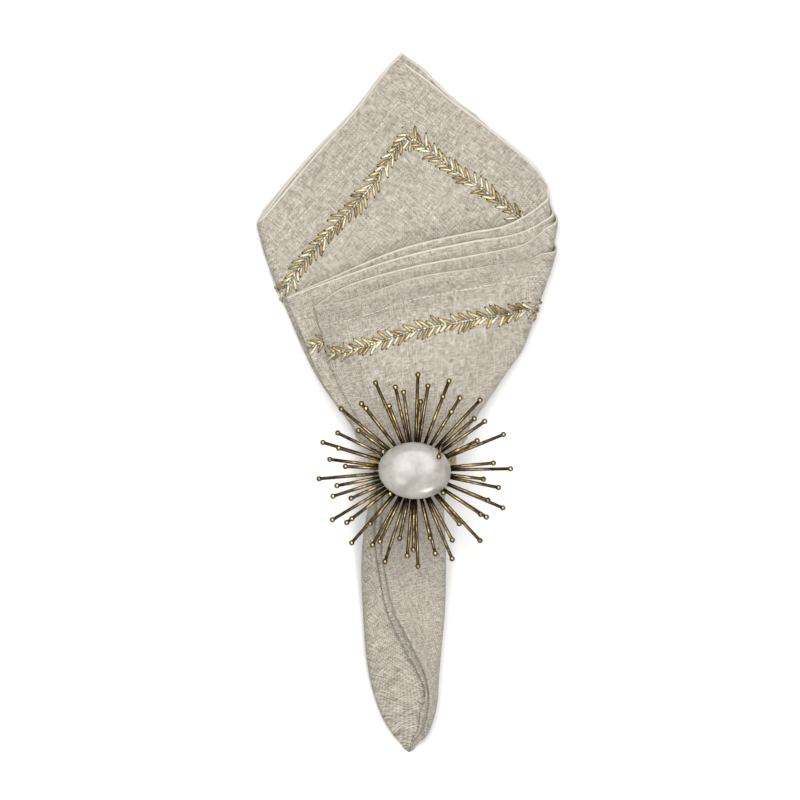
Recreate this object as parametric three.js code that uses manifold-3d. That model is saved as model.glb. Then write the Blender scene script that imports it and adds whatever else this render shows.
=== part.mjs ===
// A square linen napkin, folded in four and rolled into a cone, in a brass ring with a burst of rods.
// Millimetres, +Z up. It lies on its back: +Y points from the rolled tip to the open corner.

import * as THREE from "three";
import { mergeVertices } from "three/addons/utils/BufferGeometryUtils.js";
import Module from "manifold-3d";

// Napkin, flat
const napkinSide = 508;
const halfSide = napkinSide / 2;
const clothThickness = 1;
const layerGap = 0.25;
const layerPitch = clothThickness + layerGap;
const turnClearance = 0.15;
const halfStack = 1.5 * layerPitch + clothThickness / 2;
const panelTurnRadius = halfStack + turnClearance;
const rollHalfHeight = 2 * panelTurnRadius + halfStack;

// The four layers are wedges of the flat square, from its centre, which becomes the tip. An angle of
// 0 in a wedge is the fold at the flap's edge, 90 the fold hidden at the back, 45 the open corner.
const rightTurnAngle = 30.6;
const leftTurnAngle = 61.6;
const layers = ["A", "D", "C", "B"];

// Where the tip lies, and the lowest point of everything
const tip = { x: 1.6, y: -179.5 };

// The roll at each reach from the tip. left, right: its sides, as arcs about the tip. flap: the fold of
// the two upper layers on the front. slip: how much further left the two lower layers fold.
// rear: the hidden fold at the back. under: height of the rear panel's underside, below nothing where
// that panel has ended and the corner above it comes down. puff: how far the panels stand apart at the
// middle of the roll. nip: how much the whole stack is squeezed towards the tip.
const stations = [
  { reach: 12, left: -9, right: 10, flap: 7.2, slip: 2, rear: 3, under: 0, puff: 1, nip: 0.52 },
  { reach: 22, left: -14.6, right: 14, flap: 10.2, slip: 3.6, rear: 6, under: 0, puff: 1, nip: 0.68 },
  { reach: 32, left: -18.3, right: 15.7, flap: 11.2, slip: 2, rear: 8, under: 0, puff: 1, nip: 0.8 },
  { reach: 42, left: -20.9, right: 16.1, flap: 8.6, slip: 3.6, rear: 9, under: 0, puff: 1, nip: 0.9 },
  { reach: 56, left: -23, right: 17.3, flap: 2.2, slip: 5, rear: 10, under: 0, puff: 1, nip: 1 },
  { reach: 74, left: -24.2, right: 18.9, flap: -7, slip: 3.5, rear: 10, under: 0, puff: 1.1, nip: 1 },
  { reach: 94, left: -25, right: 19.4, flap: -11.5, slip: 3, rear: 11, under: 0.5, puff: 1.35, nip: 1 },
  { reach: 112, left: -24.2, right: 19.1, flap: -13.5, slip: 3, rear: 11, under: 1.2, puff: 1.75, nip: 1 },
  { reach: 128, left: -21.4, right: 18.3, flap: -12.5, slip: 3, rear: 11, under: 1.9, puff: 2.2, nip: 1 },
  { reach: 138, left: -19.5, right: 20.1, flap: -12, slip: 3, rear: 12, under: 1.6, puff: 2.7, nip: 1 },
  { reach: 145, left: -18.8, right: 22.1, flap: -12.4, slip: 3, rear: 13, under: 1.5, puff: 2.83, nip: 1 },
  { reach: 157, left: -18.9, right: 22.7, flap: -13, slip: 3, rear: 14, under: 1.5, puff: 2.83, nip: 1 },
  { reach: 162.5, left: -26.2, right: 29.2, flap: -19.4, slip: 3.5, rear: 18, under: 2.2, puff: 2.5, nip: 1 },
  { reach: 171, left: -30.2, right: 32, flap: -23.5, slip: 4.5, rear: 22, under: 2.8, puff: 2, nip: 1 },
  { reach: 184, left: -39, right: 40, flap: -31, slip: 6, rear: 28, under: 1.8, puff: 1.6, nip: 1 },
  { reach: 200, left: -48.6, right: 49.8, flap: -38.6, slip: 7.5, rear: 36, under: 0.9, puff: 1.3, nip: 1 },
  { reach: 216, left: -56, right: 59.4, flap: -43.2, slip: 9, rear: 43, under: 0.3, puff: 1.12, nip: 1 },
  { reach: 236, left: -64, right: 65.6, flap: -48.4, slip: 12, rear: 50, under: 0.12, puff: 1, nip: 1 },
  { reach: 262, left: -74, right: 73.2, flap: -54, slip: 14, rear: 57, under: 0.06, puff: 1, nip: 1 },
  { reach: 282, left: -79.2, right: 77.2, flap: -58, slip: 14, rear: 60, under: 0.15, puff: 1, nip: 1 },
  { reach: 300, left: -84.4, right: 76.6, flap: -62, slip: 14, rear: 64, under: -0.9, puff: 1, nip: 1 },
  { reach: 364, left: -108.2, right: 86.8, flap: -75, slip: 14, rear: 78, under: -5.1, puff: 1, nip: 1 },
];

// Reach of each layer's hem as a share of its flat reach, by angle: the flap's edges step back one by
// one, and turn up again round the right side.
const hemShares = [
  { angle: 0, A: 0.956, D: 0.9545, C: 0.924, B: 0.923 },
  { angle: 5, A: 0.969, D: 0.9635, C: 0.951, B: 0.921 },
  { angle: 14, A: 0.9905, D: 0.974, C: 0.956, B: 0.9325 },
  { angle: 22, A: 0.986, D: 0.968, C: 0.945, B: 0.918 },
  { angle: 25, A: 0.981, D: 0.961, C: 0.94, B: 0.911 },
  { angle: 27.5, A: 0.99, D: 0.961, C: 0.939, B: 0.9035 },
  { angle: 30.6, A: 1.007, D: 0.977, C: 0.966, B: 0.915 },
  { angle: 33, A: 1.019, D: 1.003, C: 0.995, B: 0.955 },
  { angle: 38, A: 1.011, D: 1.0125, C: 1.0125, B: 1.0125 },
  { angle: 41, A: 1.0005, D: 1.0045, C: 1.0045, B: 1.0045 },
  { angle: 43, A: 0.9975, D: 1.0085, C: 1.009, B: 1.0095 },
  { angle: 45, A: 0.993, D: 1.003, C: 1.003, B: 1.003 },
  { angle: 47, A: 1.003, D: 1.0045, C: 1.0045, B: 1.0045 },
  { angle: 49.5, A: 0.996, D: 0.997, C: 0.997, B: 0.997 },
  { angle: 54, A: 0.994, D: 1, C: 1, B: 1 },
  { angle: 58, A: 0.9885, D: 0.996, C: 0.997, B: 0.9975 },
  { angle: 61.6, A: 0.981, D: 0.984, C: 0.987, B: 0.99 },
  { angle: 90, A: 0.965, D: 0.96, C: 0.96, B: 0.965 },
];

// The flap stands off the panel under it like a low tent, and comes down again to its hem. grain is
// measured along the flap's own left fold, which leans by flapLean from +Y.
const flapLean = THREE.MathUtils.degToRad(15);
const tent = [
  { grain: 150, lift: 0 },
  { grain: 170, lift: 3.5 },
  { grain: 186, lift: 9.5 },
  { grain: 200, lift: 14.5 },
  { grain: 208, lift: 16.2 },
  { grain: 214, lift: 15.6 },
  { grain: 220, lift: 12.2 },
  { grain: 226, lift: 7.6 },
  { grain: 232, lift: 3.8 },
  { grain: 240, lift: 1.4 },
  { grain: 252, lift: 0.6 },
  { grain: 300, lift: 0.4 },
];
const tentEdgeShare = 0.3;
const tentShoulder = 26;
const puffRoundness = 0.9;

// Mesh of the napkin. Every layer has the shared reaches, then shares of what is left up to its own hem.
const sharedReaches = [12, 22, 32, 42, 56, 74, 94, 112, 128, 138, 145, 157, 162.5, 171, 184, 200];
const outerShares = [0.2, 0.4, 0.6, 0.76, 0.89, 1];
const panelShares = {
  flap: [0, 0.25, 0.5, 0.75],
  "right turn": [0, 0.25, 0.5, 0.75],
  middle: [0, 0.15, 0.31, 0.4645, 0.64, 0.82],
  "left turn": [0, 0.25, 0.5, 0.75],
  rear: [0, 0.25, 0.5, 0.75, 1],
};
const leastRun = 0.3;
const hemSearch = { rounds: 30, ease: 0.7 };
const plug = { sides: 16, reaches: [1, 4, 8, 12, 14] };
const mergeTolerance = 1e-4;

// Ring
const ring = { x: 3.4, y: -29.9, radius: 22.6, width: 9.2, wall: 1.1, edgeRound: 0.4, facets: 40 };
const ringCentreHeight = ring.radius * Math.cos(Math.PI / ring.facets);
const ringTop = 2 * ringCentreHeight;

// Setting, stone and rods
const seatGap = 0.3;
const burst = { x: 4.4, y: -33.8 };
const hub = { radius: 11, bottom: ringTop + seatGap, height: 9.5, facets: 32 };
const plate = { halfLength: 15.6, halfWidth: 11.8, thickness: 0.8, sunk: 0.2 };
const plateTop = hub.bottom + hub.height + plate.thickness;
const stone = { halfLength: 18.4, halfWidth: 14.4, underShare: 0.93, girdle: 1.6, crown: 5.6 };
const dome = { steps: 7, facets: 32, fullness: 0.8 };
const stoneBottom = plateTop + seatGap;
const prong = { radius: 0.65, rootShare: 0.5, ballRadius: 1.3, sides: 8, ballRings: 6 };

// Each prong leaves the plate's edge at its elbow, rises beside the stone to its shoulder and ends in a
// ball at x, y, height. Places are from the middle of the stone's underside; the last bends over it.
const prongs = [
  { elbowX: -17, elbowY: 7.9, shoulder: 1.2, x: -16, y: 9.6, height: 2.6 },
  { elbowX: -13.1, elbowY: -12.4, shoulder: 1.6, x: -12.4, y: -11.7, height: 4 },
  { elbowX: 14.9, elbowY: -11.6, shoulder: 1.2, x: 14.5, y: -11.2, height: 2.6 },
  { elbowX: 13.3, elbowY: 13.5, shoulder: 2.6, x: 12.2, y: 7.2, height: 7.4 },
];

const rod = { radius: 0.85, ballRadius: 1.4, sides: 6, wallGap: 0.45 };
const rodBallAngles = [-22, 22, 60];
const tierSpacing = 2.05;

// Tiers of rods, from the lowest. reach: from the middle of the hub to the ball, seen from above.
const tiers = [
  {
    reach: 48.6,
    lift: 2.5,
    azimuths: [1, 22, 47, 69, 88, 114, 140, 163, 185, 211, 229, 252, 272, 293, 313, 337],
  },
  {
    reach: 43.3,
    lift: 5,
    azimuths: [35, 58, 81, 103, 128.5, 154, 172.5, 197.5, 217.5, 240.5, 265, 284, 327, 348.5],
  },
  {
    reach: 40,
    lift: 7.5,
    azimuths: [5.5, 41, 69, 98, 128, 163.5, 191, 217.5, 244, 269, 298.5, 326.5, 338],
  },
  {
    reach: 35,
    lift: 10,
    azimuths: [25.5, 58, 85, 111.5, 144.5, 176.5, 203.5, 230, 257.5, 283, 310, 353],
  },
];

const material = {
  linen: new THREE.MeshStandardMaterial({ color: 0xc9c1b1, roughness: 0.9, side: THREE.DoubleSide }),
  brass: new THREE.MeshStandardMaterial({ color: 0x8c6b33, roughness: 0.35, metalness: 1 }),
  pearl: new THREE.MeshStandardMaterial({ color: 0xeeeae2, roughness: 0.2 }),
};

// One column of a table at a value of its key, as a smooth curve through the rows.
function lookUp(table, key, at, column) {
  const last = table.length - 1;
  const value = THREE.MathUtils.clamp(at, table[0][key], table[last][key]);
  let i = 0;
  while (i < last - 1 && value > table[i + 1][key]) i++;
  const slope = (j) => {
    const before = table[Math.max(j - 1, 0)];
    const after = table[Math.min(j + 1, last)];
    return (after[column] - before[column]) / (after[key] - before[key]);
  };
  const width = table[i + 1][key] - table[i][key];
  const t = (value - table[i][key]) / width;
  const start = table[i][column];
  const end = table[i + 1][column];
  const curve =
    (2 * t ** 3 - 3 * t ** 2 + 1) * start +
    (t ** 3 - 2 * t ** 2 + t) * width * slope(i) +
    (3 * t ** 2 - 2 * t ** 3) * end +
    (t ** 3 - t ** 2) * width * slope(i + 1);
  return curve;
}

// All columns of the roll at one reach.
function stationAt(reach) {
  const station = { reach };
  for (const column of ["left", "right", "flap", "slip", "rear", "under", "puff", "nip"])
    station[column] = lookUp(stations, "reach", reach, column);
  return station;
}

// How far a layer lies from the middle of its stack, towards layer B.
const layerOffset = (layer) => (layers.indexOf(layer) - 1.5) * layerPitch;

// One place on the folded section at a station. Each layer runs along the flap, round the right turn,
// along the middle panel, round the left turn and along the rear panel. The result has the place
// across (arc) and up (height), its normal towards layer B, its angle in the flat cloth's wedge and
// its share of the flap's lift.
function sectionPoint(station, spot, layer) {
  const radius = panelTurnRadius * station.nip;
  const outer = radius + halfStack * station.nip;
  const rightCentre = station.right - outer;
  const leftCentre = station.left + outer;
  const lower = layer === "A" || layer === "D";
  const flapEdge = Math.min(station.flap, rightCentre - leastRun) - (lower ? station.slip : 0);
  const quarter = (Math.PI / 2) * radius;
  const flapRun = rightCentre - flapEdge;
  const middleRun = rightCentre - leftCentre;
  const rearRun = Math.max(station.rear - leftCentre, leastRun);
  const towards = (from, to, share) => from + (to - from) * share;
  const onTurn = (centre, height, turnAngle, outward) => ({
    arc: centre + radius * Math.cos(turnAngle),
    height: height + radius * Math.sin(turnAngle),
    normalArc: outward * Math.cos(turnAngle),
    normalHeight: outward * Math.sin(turnAngle),
  });
  const share = spot.share;
  if (spot.panel === "flap")
    return {
      arc: towards(flapEdge, rightCentre, share),
      height: 2 * radius,
      normalArc: 0,
      normalHeight: 1,
      angle: (rightTurnAngle * flapRun * share) / (flapRun + quarter),
      lifted: 1,
    };
  if (spot.panel === "right turn") {
    const turnAngle = (0.5 - share) * Math.PI;
    const span = leftTurnAngle - rightTurnAngle;
    const angle =
      share < 0.5
        ? (rightTurnAngle * (flapRun + 2 * quarter * share)) / (flapRun + quarter)
        : rightTurnAngle + (span * 2 * quarter * (share - 0.5)) / (middleRun + 2 * quarter);
    return {
      ...onTurn(rightCentre, radius, turnAngle, 1),
      angle,
      lifted: (1 + Math.sin(turnAngle)) / 2,
    };
  }
  if (spot.panel === "middle")
    return {
      arc: towards(rightCentre, leftCentre, share),
      height: 0,
      normalArc: 0,
      normalHeight: -1,
      angle:
        rightTurnAngle +
        ((leftTurnAngle - rightTurnAngle) * (quarter + middleRun * share)) / (middleRun + 2 * quarter),
      lifted: 0,
    };
  if (spot.panel === "left turn") {
    const turnAngle = (0.5 + share) * Math.PI;
    const span = leftTurnAngle - rightTurnAngle;
    const angle =
      share < 0.5
        ? leftTurnAngle - (span * 2 * quarter * (0.5 - share)) / (middleRun + 2 * quarter)
        : leftTurnAngle + ((90 - leftTurnAngle) * 2 * quarter * (share - 0.5)) / (rearRun + quarter);
    return { ...onTurn(leftCentre, -radius, turnAngle, -1), angle, lifted: 0 };
  }
  return {
    arc: towards(leftCentre, leftCentre + rearRun, share),
    height: -2 * radius,
    normalArc: 0,
    normalHeight: 1,
    angle: leftTurnAngle + ((90 - leftTurnAngle) * (quarter + rearRun * share)) / (rearRun + quarter),
    lifted: 0,
  };
}

// The cloth's own place on the section: centre of its thickness, and the side with the beads.
function clothPoint(station, spot) {
  const scale = station.nip;
  if (!spot.fold) {
    const at = sectionPoint(station, spot, spot.layer);
    const side = spot.layer === "B" || spot.layer === "D" ? 1 : -1;
    const offset = layerOffset(spot.layer) * scale;
    return {
      ...at,
      arc: at.arc + at.normalArc * offset,
      height: at.height + at.normalHeight * offset,
      sideArc: at.normalArc * side,
      sideHeight: at.normalHeight * side,
    };
  }
  const [from, to] = spot.fold;
  const atRear = spot.angle === 90;
  const end = sectionPoint(station, { panel: atRear ? "rear" : "flap", share: atRear ? 1 : 0 }, from);
  const middle = ((layerOffset(from) + layerOffset(to)) / 2) * scale;
  const radius = (Math.abs(layerOffset(to) - layerOffset(from)) / 2) * scale;
  const turn = (spot.turn - 0.5) * Math.PI * Math.sign(layerOffset(to) - layerOffset(from));
  const away = atRear ? 1 : -1;
  const inward = from === "D" && to === "C" ? -1 : 1;
  return {
    ...end,
    arc: end.arc + away * radius * Math.cos(turn),
    height: end.height + middle + radius * Math.sin(turn),
    sideArc: inward * away * Math.cos(turn),
    sideHeight: inward * Math.sin(turn),
  };
}

// The spots round one closed section: each layer in turn, joined by half-round folds.
function closedSection() {
  const alongLayer = Object.entries(panelShares).flatMap(([panel, onPanel]) =>
    onPanel.map((share) => ({ panel, share })),
  );
  const onLayer = (layer, backwards) => {
    const spots = alongLayer.map((spot) => ({ ...spot, layer }));
    return backwards ? spots.reverse() : spots;
  };
  const onFold = (fold, angle, steps) =>
    Array.from({ length: steps - 1 }, (_, i) => ({ fold, angle, turn: (i + 1) / steps }));
  return [
    ...onLayer("A", true),
    ...onFold(["A", "D"], 0, 2),
    ...onLayer("D", false),
    ...onFold(["D", "C"], 90, 2),
    ...onLayer("C", true),
    ...onFold(["C", "B"], 0, 2),
    ...onLayer("B", false),
    ...onFold(["B", "A"], 90, 4),
  ];
}

// Reach of the hem at one angle in the flat wedge.
function hemReach(angle, spot) {
  const radians = THREE.MathUtils.degToRad(angle);
  const flatReach = halfSide / Math.max(Math.cos(radians), Math.sin(radians));
  const share = (layer) => lookUp(hemShares, "angle", angle, layer);
  if (!spot.fold) return flatReach * share(spot.layer);
  return flatReach * THREE.MathUtils.lerp(share(spot.fold[0]), share(spot.fold[1]), spot.turn);
}

// Where a spot's line reaches the hem.
function hemOf(spot) {
  let reach = halfSide;
  for (let i = 0; i < hemSearch.rounds; i++) {
    const angle = spot.fold ? spot.angle : clothPoint(stationAt(reach), spot).angle;
    reach = THREE.MathUtils.lerp(reach, hemReach(angle, spot), hemSearch.ease);
  }
  return reach;
}

// From the section to the part: the arc bends about the tip, and the height is puffed and lifted.
function place(station, point, side) {
  const thick = (side * clothThickness * station.nip) / 2;
  const arc = point.arc + thick * point.sideArc;
  const bearing = arc / station.reach;
  const middleHeight = station.under + rollHalfHeight * station.nip * station.puff;
  const centre = (station.left + station.right) / 2;
  const half = (station.right - station.left) / 2;
  const across = THREE.MathUtils.clamp((arc - centre) / half, -1, 1);
  const puff = 1 + (station.puff - 1) * (1 - across ** 2) ** puffRoundness;
  const grain = station.reach * Math.cos(bearing + flapLean);
  const fromSides = Math.min(arc - station.flap + station.slip, station.right - arc);
  const shoulder = THREE.MathUtils.smoothstep(fromSides, 0, tentShoulder);
  const tentShare = THREE.MathUtils.lerp(tentEdgeShare, 1, shoulder);
  const lift = lookUp(tent, "grain", grain, "lift") * tentShare * point.lifted;
  return [
    tip.x + station.reach * Math.sin(bearing),
    tip.y + station.reach * Math.cos(bearing),
    middleHeight + point.height * puff + thick * point.sideHeight + lift,
  ];
}

// A closed body from rings of points: loops[i][j] is point j of loop i.
function bodyFromLoops(loops, closedRound) {
  const positions = loops.flat(2);
  const index = [];
  const perLoop = loops[0].length;
  const quad = (a, b, c, d) => index.push(a, b, c, a, c, d);
  const loopPairs = closedRound ? loops.length : loops.length - 1;
  for (let i = 0; i < loopPairs; i++) {
    const here = i * perLoop;
    const next = ((i + 1) % loops.length) * perLoop;
    for (let j = 0; j < perLoop; j++) {
      const k = (j + 1) % perLoop;
      quad(here + j, here + k, next + k, next + j);
    }
  }
  if (!closedRound)
    for (let j = 1; j < perLoop - 1; j++) {
      const end = (loops.length - 1) * perLoop;
      index.push(0, j + 1, j);
      index.push(end, end + j, end + j + 1);
    }
  const geometry = new THREE.BufferGeometry();
  geometry.setAttribute("position", new THREE.Float32BufferAttribute(positions, 3));
  geometry.setIndex(index);
  return geometry;
}

// The folded sheet without its tip: round the section, out along the bead side, back along the other.
function foldedSheet() {
  const loops = closedSection().map((spot) => {
    const hem = hemOf(spot);
    const lastShared = sharedReaches[sharedReaches.length - 1];
    const reaches = [
      ...sharedReaches,
      ...outerShares.map((share) => THREE.MathUtils.lerp(lastShared, hem, share)),
    ];
    const placed = (side) =>
      reaches.map((reach) => {
        const station = stationAt(reach);
        return place(station, clothPoint(station, spot), side);
      });
    return [...placed(1), ...placed(-1).reverse()];
  });
  return bodyFromLoops(loops, true);
}

// The tip, where all the layers are nipped together.
function tipPlug() {
  const loops = plug.reaches.map((reach) => {
    const start = stations[0];
    const share = Math.min(reach / start.reach, 1);
    const station = reach < start.reach ? { ...start, reach } : stationAt(reach);
    const fullness = Math.sqrt(share);
    const half = ((station.right - station.left) / 2) * fullness;
    const centre = ((station.right + station.left) / 2) * share;
    const halfHeight = rollHalfHeight * station.nip * fullness;
    return Array.from({ length: plug.sides }, (_, i) => {
      const turn = (i / plug.sides) * 2 * Math.PI;
      const round = (value) => Math.sign(value) * Math.sqrt(Math.abs(value));
      const bearing = (centre + half * round(Math.cos(turn))) / reach;
      const height = halfHeight * (1 + round(Math.sin(turn)));
      return [tip.x + reach * Math.sin(bearing), tip.y + reach * Math.cos(bearing), height];
    });
  });
  return bodyFromLoops(loops, false);
}

const wasm = await Module();
wasm.setup();

// A closed geometry as a solid that can be joined, whichever way its faces point.
function toSolid(geometry) {
  const bare = geometry.clone();
  bare.deleteAttribute("normal");
  bare.deleteAttribute("uv");
  const merged = mergeVertices(bare, mergeTolerance);
  const solid = new wasm.Manifold(
    new wasm.Mesh({
      numProp: 3,
      vertProperties: Float32Array.from(merged.attributes.position.array),
      triVerts: Uint32Array.from(merged.index.array),
    }),
  );
  if (solid.volume() > 0) return solid;
  const flipped = merged.clone();
  const triangles = flipped.index.array;
  for (let i = 0; i < triangles.length; i += 3)
    [triangles[i + 1], triangles[i + 2]] = [triangles[i + 2], triangles[i + 1]];
  return toSolid(flipped);
}

function toGeometry(solid) {
  const mesh = solid.getMesh();
  const geometry = new THREE.BufferGeometry();
  geometry.setAttribute("position", new THREE.BufferAttribute(mesh.vertProperties, 3));
  geometry.setIndex(new THREE.BufferAttribute(mesh.triVerts, 1));
  geometry.computeVertexNormals();
  return geometry;
}

const joined = (geometries) =>
  toGeometry(geometries.map(toSolid).reduce((whole, piece) => whole.add(piece)));

function makeNapkin() {
  return new THREE.Mesh(joined([foldedSheet(), tipPlug()]), material.linen);
}

// A flat strip bent to a circle about Y, with one of its facets level at the bottom.
function makeRingBand() {
  const half = ring.width / 2;
  const inside = ring.radius - ring.wall;
  const profile = [
    new THREE.Vector2(ring.radius - ring.edgeRound, -half),
    new THREE.Vector2(ring.radius, -half + ring.edgeRound),
    new THREE.Vector2(ring.radius, half - ring.edgeRound),
    new THREE.Vector2(ring.radius - ring.edgeRound, half),
    new THREE.Vector2(inside, half),
    new THREE.Vector2(inside, -half),
    new THREE.Vector2(ring.radius - ring.edgeRound, -half),
  ];
  const geometry = new THREE.LatheGeometry(profile, ring.facets, Math.PI / ring.facets);
  const band = new THREE.Mesh(geometry, material.brass);
  band.position.set(ring.x, ring.y, ringCentreHeight);
  return band;
}

// A straight or bent wire of round section through a few points, with a ball on its end.
function wireWithBall(points, radius, ballRadius, sides) {
  const loops = points.map((point, i) => {
    const before = points[Math.max(i - 1, 0)];
    const after = points[Math.min(i + 1, points.length - 1)];
    const along = after.clone().sub(before).normalize();
    const across = new THREE.Vector3(-along.y, along.x, 0);
    if (across.lengthSq() < mergeTolerance) across.set(1, 0, 0);
    across.normalize();
    const upward = along.clone().cross(across);
    return Array.from({ length: sides }, (_, k) => {
      const turn = (k / sides) * 2 * Math.PI;
      return point
        .clone()
        .addScaledVector(across, radius * Math.cos(turn))
        .addScaledVector(upward, radius * Math.sin(turn))
        .toArray();
    });
  });
  const ball = new THREE.SphereGeometry(ballRadius, sides, prong.ballRings);
  ball.translate(...points[points.length - 1].toArray());
  return [bodyFromLoops(loops, false), ball];
}

// The hub that holds the rods, with an oval plate under the stone and the prongs that grip it.
function makeSetting() {
  const drum = new THREE.CylinderGeometry(hub.radius, hub.radius, hub.height, hub.facets);
  drum.rotateX(Math.PI / 2).translate(0, 0, hub.bottom + hub.height / 2);
  const oval = new THREE.CylinderGeometry(1, 1, plate.thickness + plate.sunk, hub.facets);
  oval.rotateX(Math.PI / 2).scale(plate.halfLength, plate.halfWidth, 1);
  oval.translate(0, 0, plateTop - (plate.thickness + plate.sunk) / 2);
  const level = plateTop - prong.radius;
  const wires = prongs.flatMap((one) => {
    const elbow = new THREE.Vector3(one.elbowX, one.elbowY, level);
    const root = elbow.clone().multiplyScalar(prong.rootShare).setZ(level);
    const shoulder = elbow.clone().setZ(stoneBottom + one.shoulder);
    const end = new THREE.Vector3(one.x, one.y, stoneBottom + one.height);
    return wireWithBall([root, elbow, shoulder, end], prong.radius, prong.ballRadius, prong.sides);
  });
  const setting = new THREE.Mesh(joined([drum, oval, ...wires]), material.brass);
  setting.position.set(burst.x, burst.y, 0);
  return setting;
}

// An oval cabochon: flat under, a low girdle, then a dome.
function makeStone() {
  const profile = [new THREE.Vector2(0, 0), new THREE.Vector2(stone.underShare, 0)];
  for (let i = 0; i <= dome.steps; i++) {
    const turn = ((i / dome.steps) * Math.PI) / 2;
    const radius = i === dome.steps ? 0 : Math.cos(turn) ** dome.fullness;
    const height = stone.girdle + stone.crown * Math.sin(turn);
    profile.push(new THREE.Vector2(radius, height / stone.halfLength));
  }
  const geometry = new THREE.LatheGeometry(profile, dome.facets);
  geometry.rotateX(Math.PI / 2);
  geometry.scale(stone.halfLength, stone.halfWidth, stone.halfLength);
  const cabochon = new THREE.Mesh(geometry, material.pearl);
  cabochon.position.set(burst.x, burst.y, stoneBottom);
  return cabochon;
}

// A rod with a ball, turned about its own length, which starts at the origin and runs along +Y.
function rodGeometry(length) {
  const neck = length - Math.sqrt(rod.ballRadius ** 2 - rod.radius ** 2);
  const ballPoint = (degrees) => {
    const turn = THREE.MathUtils.degToRad(degrees);
    return new THREE.Vector2(rod.ballRadius * Math.cos(turn), length + rod.ballRadius * Math.sin(turn));
  };
  const profile = [
    new THREE.Vector2(0, 0),
    new THREE.Vector2(rod.radius, 0),
    new THREE.Vector2(rod.radius, neck),
    ...rodBallAngles.map(ballPoint),
    new THREE.Vector2(0, length + rod.ballRadius),
  ];
  return new THREE.LatheGeometry(profile, rod.sides);
}

function makeRods() {
  return tiers.flatMap((tier, t) =>
    tier.azimuths.map((azimuth, i) => {
      const lift = THREE.MathUtils.degToRad(tier.lift);
      const start = hub.radius + rod.wallGap;
      const length = (tier.reach - start) / Math.cos(lift);
      const piece = new THREE.Mesh(rodGeometry(length), material.brass);
      piece.name = `rod_${t + 1}_${String(i + 1).padStart(2, "0")}`;
      piece.position.set(start, 0, hub.bottom + rod.radius + seatGap + tierSpacing * t);
      const turned = new THREE.Group();
      piece.quaternion.setFromUnitVectors(
        new THREE.Vector3(0, 1, 0),
        new THREE.Vector3(Math.cos(lift), 0, Math.sin(lift)),
      );
      turned.rotation.z = THREE.MathUtils.degToRad(azimuth);
      turned.position.set(burst.x, burst.y, 0);
      turned.add(piece);
      return turned;
    }),
  );
}

const named = (mesh, name) => Object.assign(mesh, { name });

const napkinInRing = new THREE.Group();
napkinInRing.add(
  named(makeNapkin(), "napkin"),
  named(makeRingBand(), "ring_band"),
  named(makeSetting(), "setting"),
  named(makeStone(), "stone"),
  ...makeRods(),
);

export default napkinInRing;
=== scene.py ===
import math
import random

import bmesh
import bpy
import numpy as np
from mathutils import Matrix, Vector


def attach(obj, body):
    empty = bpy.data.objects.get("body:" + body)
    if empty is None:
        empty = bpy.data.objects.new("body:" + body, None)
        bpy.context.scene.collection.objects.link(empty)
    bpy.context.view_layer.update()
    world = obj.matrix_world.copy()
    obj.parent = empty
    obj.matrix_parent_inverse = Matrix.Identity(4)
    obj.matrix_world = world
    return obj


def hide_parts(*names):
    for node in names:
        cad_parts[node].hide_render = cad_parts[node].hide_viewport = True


# Napkin in a ring: a linen napkin with a bead border, folded in four and rolled into a cone, in a
# brass ring with a burst of ball-tipped rods round a white stone. Sizes are in millimetres.
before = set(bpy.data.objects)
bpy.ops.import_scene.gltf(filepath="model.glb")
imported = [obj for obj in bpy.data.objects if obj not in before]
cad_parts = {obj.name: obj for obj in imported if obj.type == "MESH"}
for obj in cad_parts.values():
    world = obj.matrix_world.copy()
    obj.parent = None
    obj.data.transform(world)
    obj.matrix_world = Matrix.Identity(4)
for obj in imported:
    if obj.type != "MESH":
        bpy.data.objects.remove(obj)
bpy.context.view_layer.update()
mm = 0.001  # in metres
zUp = Vector((0, 0, 1))
print("frame loaded:", len(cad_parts), "solids")

# Camera, straight above as in the photo, with a long lens
view = {
    "x": -3.0,
    "y": 1.9,
    "height": 3000.0,
    "frameWidth": 409.9,  # at the next line's height
    "frameHeight": 16.0,
    "sensor": 36.0,
}


def makeCamera():
    data = bpy.data.cameras.new("camera")
    data.sensor_width = view["sensor"]
    data.lens = view["sensor"] * (view["height"] - view["frameHeight"]) / view["frameWidth"]
    camera = bpy.data.objects.new("camera", data)
    camera.location = (view["x"] * mm, view["y"] * mm, view["height"] * mm)
    bpy.context.scene.collection.objects.link(camera)
    bpy.context.scene.camera = camera


makeCamera()


# Small helpers

def linear(hexColour):  # sRGB hex to linear
    parts = [int(hexColour[i:i + 2], 16) / 255 for i in (1, 3, 5)]
    return [*(p / 12.92 if p <= 0.04045 else ((p + 0.055) / 1.055) ** 2.4 for p in parts), 1.0]


def newMaterial(name, finish):  # finish is by the shader's own sockets
    material = bpy.data.materials.new(name)
    material.use_nodes = True
    tree = material.node_tree
    shader = tree.nodes["Principled BSDF"]
    for socket, value in finish.items():
        shader.inputs[socket].default_value = value
    return material, tree, shader


def addNode(tree, kind, values=None, links=None, **settings):  # values and links are by input socket
    node = tree.nodes.new(kind)
    for name, value in settings.items():
        setattr(node, name, value)
    for socket, value in (values or {}).items():
        node.inputs[socket].default_value = value
    for socket, source in (links or {}).items():
        tree.links.new(source, node.inputs[socket])
    return node


def setRamp(node, stops):  # stops are (position, hex colour)
    ramp = node.color_ramp
    while len(ramp.elements) < len(stops):
        ramp.elements.new(0.5)
    for element, (position, colour) in zip(ramp.elements, stops):
        element.position = position
        element.color = linear(colour)


def templateFrom(bm, name):  # a smooth mesh, which can be stamped many times
    mesh = bpy.data.meshes.new(name)
    for face in bm.faces:
        face.smooth = True
    bm.to_mesh(mesh)
    bm.free()
    return mesh


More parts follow.
